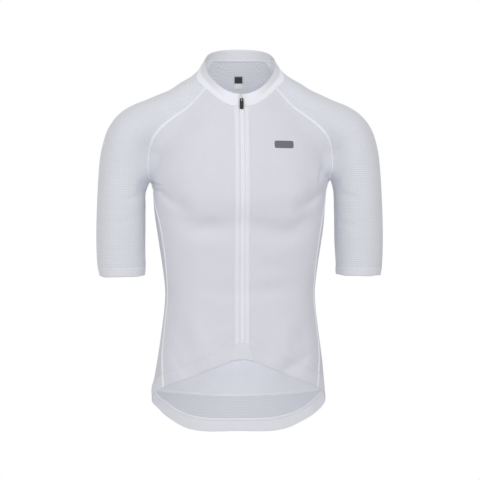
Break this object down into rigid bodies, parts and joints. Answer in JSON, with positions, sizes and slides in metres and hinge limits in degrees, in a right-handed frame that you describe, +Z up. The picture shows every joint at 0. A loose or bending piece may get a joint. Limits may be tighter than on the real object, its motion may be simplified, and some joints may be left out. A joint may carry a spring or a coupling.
{
  "type": "cycling jersey",
  "caption": "Short-sleeved raglan cycling jersey with a stand-up collar, full front zip, rear pockets and dropped tail, filled out as worn and hollow.",
  "frame": {"origin": "middle of the neck, level with the collar's seam on the shoulders, where the wearer holds the jersey up", "axes": "+Z up, the front faces -Y, +X is the wearer's left"},
  "size_m": [0.5518, 0.2456, 0.7574],
  "materials": {
    "front_knit": "smooth fine knit, white with a cool tint",
    "placket_knit": "smooth doubled knit, a little lighter than the fronts",
    "back_mesh": "open mesh knit with fine slanting lines",
    "pocket_knit": "smooth knit",
    "sleeve_mesh": "fine ribbed mesh knit",
    "band_knit": "smooth folded knit",
    "zip_tape": "woven tape with a nylon coil",
    "label": "soft printed label, plain",
    "slider_metal": "satin plated",
    "pull_rubber": "matte moulded"
  },
  "bodies": {
    "jersey": {"front_left": "front_knit", "front_right": "front_knit", "placket_left": "placket_knit", "placket_right": "placket_knit", "back": "back_mesh", "rear_pockets": "pocket_knit", "sleeve_left": "sleeve_mesh", "sleeve_right": "sleeve_mesh", "cuff_left": "band_knit", "cuff_right": "band_knit", "front_hem": "band_knit", "back_hem": "band_knit", "collar": "band_knit", "zip_left": "zip_tape", "zip_right": "zip_tape", "neck_label": "label", "zip_slider": "slider_metal"},
    "pull_tab": {"pull_tab": "pull_rubber"}
  },
  "joints": [
    {"name": "pull_tab_swing", "type": "hinge", "parent": "jersey", "child": "pull_tab", "pos_m": [0, -0.07428, -0.05471], "axis": [-1, 0, 0], "range_deg": [0, 160]}
  ]
}
